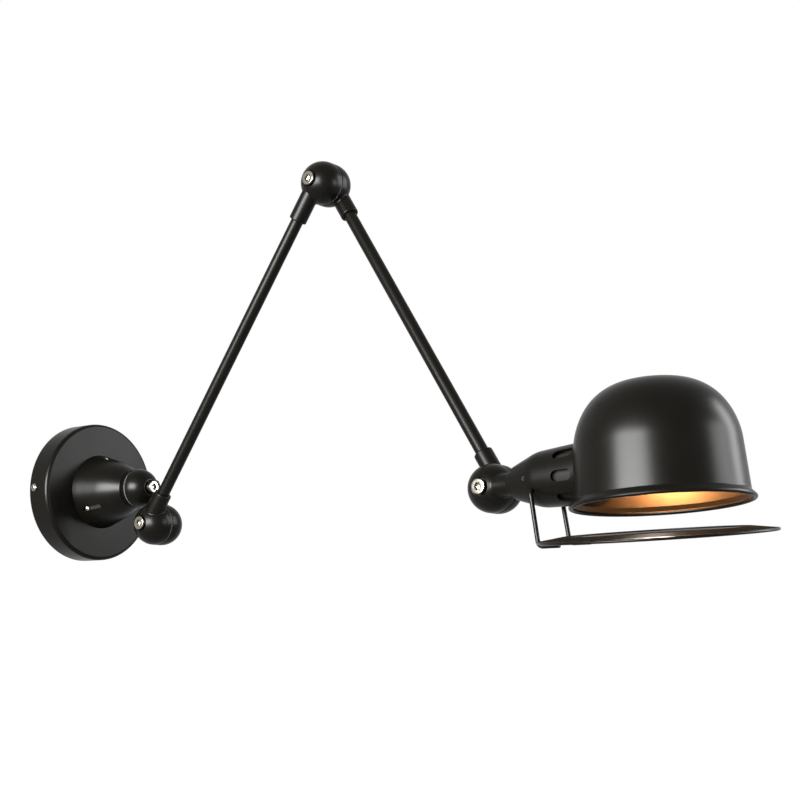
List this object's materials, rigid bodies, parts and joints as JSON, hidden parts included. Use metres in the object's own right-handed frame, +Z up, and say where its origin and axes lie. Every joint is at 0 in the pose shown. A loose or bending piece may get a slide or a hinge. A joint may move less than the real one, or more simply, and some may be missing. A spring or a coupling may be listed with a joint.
{
  "type": "swing arm wall lamp",
  "caption": "Swing arm wall lamp in satin black metal: round canopy, ball-jointed folding arms, domed spun shade and a hinged guard ring under it.",
  "frame": {"origin": "centre of the wall bracket's back face, on the axis of the canopy and the first ball, in the plane of the wall", "axes": "+Y into the wall, the lamp reaching out along -Y; +Z up; +X towards the side with the nuts, the bolt heads being on -X"},
  "size_m": [0.1568, 0.6559, 0.3218],
  "materials": {
    "black_paint": "satin",
    "nickel_steel": "satin",
    "plated_steel": "satin",
    "brass": "satin",
    "friction_plastic": "matte",
    "terminal_plastic": "matte",
    "holder_porcelain": "gloss",
    "lamp_glass": "frosted"
  },
  "bodies": {
    "wall_mount": {"wall_bracket": "plated_steel", "terminal_block": "terminal_plastic", "terminal_screws": "plated_steel", "earth_screw": "brass", "canopy": "black_paint", "canopy_screws": "nickel_steel", "hub_collar": "plated_steel", "collar_screws": "nickel_steel", "hub": "black_paint", "hub_screws": "plated_steel", "base_ball": "black_paint", "hub_nut": "plated_steel", "base_pivot_bolt": "nickel_steel", "base_friction_ring": "friction_plastic"},
    "knuckle": {"knuckle": "black_paint", "shoulder_nut": "nickel_steel", "shoulder_friction_ring": "friction_plastic"},
    "lower_arm": {"lower_arm_root": "black_paint", "shoulder_bolt": "nickel_steel", "lower_arm_tube": "black_paint", "elbow_inner_half": "black_paint", "elbow_bolt": "nickel_steel"},
    "upper_arm": {"elbow_outer_half": "black_paint", "elbow_nut": "nickel_steel", "elbow_friction_ring": "friction_plastic", "upper_arm_tube": "black_paint", "wrist_outer_half": "black_paint", "wrist_nut": "nickel_steel", "wrist_friction_ring": "friction_plastic"},
    "head": {"wrist_inner_half": "black_paint", "wrist_bolt": "nickel_steel", "holder_nipple": "plated_steel", "lampholder_cover": "black_paint", "cover_grub_screw": "nickel_steel", "lampholder_insulator": "holder_porcelain", "lampholder_shell": "brass", "lampholder_contact": "brass", "shade_clamp_ring": "holder_porcelain", "shade": "black_paint", "bulb_cap": "brass", "bulb_glass": "lamp_glass"},
    "guard": {"guard_ring": "black_paint", "guard_leg_near": "black_paint", "guard_leg_far": "black_paint"}
  },
  "joints": [
    {"name": "base_swivel", "type": "hinge", "parent": "wall_mount", "child": "knuckle", "pos_m": [0, -0.071, 0], "axis": [0, 1, 0], "range_deg": [-90, 90]},
    {"name": "shoulder", "type": "hinge", "parent": "knuckle", "child": "lower_arm", "pos_m": [0, -0.0967, -0.0323], "axis": [1, 0, 0], "range_deg": [-20, 75]},
    {"name": "elbow", "type": "hinge", "parent": "lower_arm", "child": "upper_arm", "pos_m": [0, -0.28182, 0.2308], "axis": [-1, 0, 0], "range_deg": [-57, 105]},
    {"name": "wrist", "type": "hinge", "parent": "upper_arm", "child": "head", "pos_m": [0, -0.4426, -0.02413], "axis": [1, 0, 0], "range_deg": [-80, 130]},
    {"name": "guard_hinge", "type": "hinge", "parent": "head", "child": "guard", "pos_m": [-0.01075, -0.4912, -0.03013], "axis": [1, 0, 0], "range_deg": [-5, 55]}
  ]
}
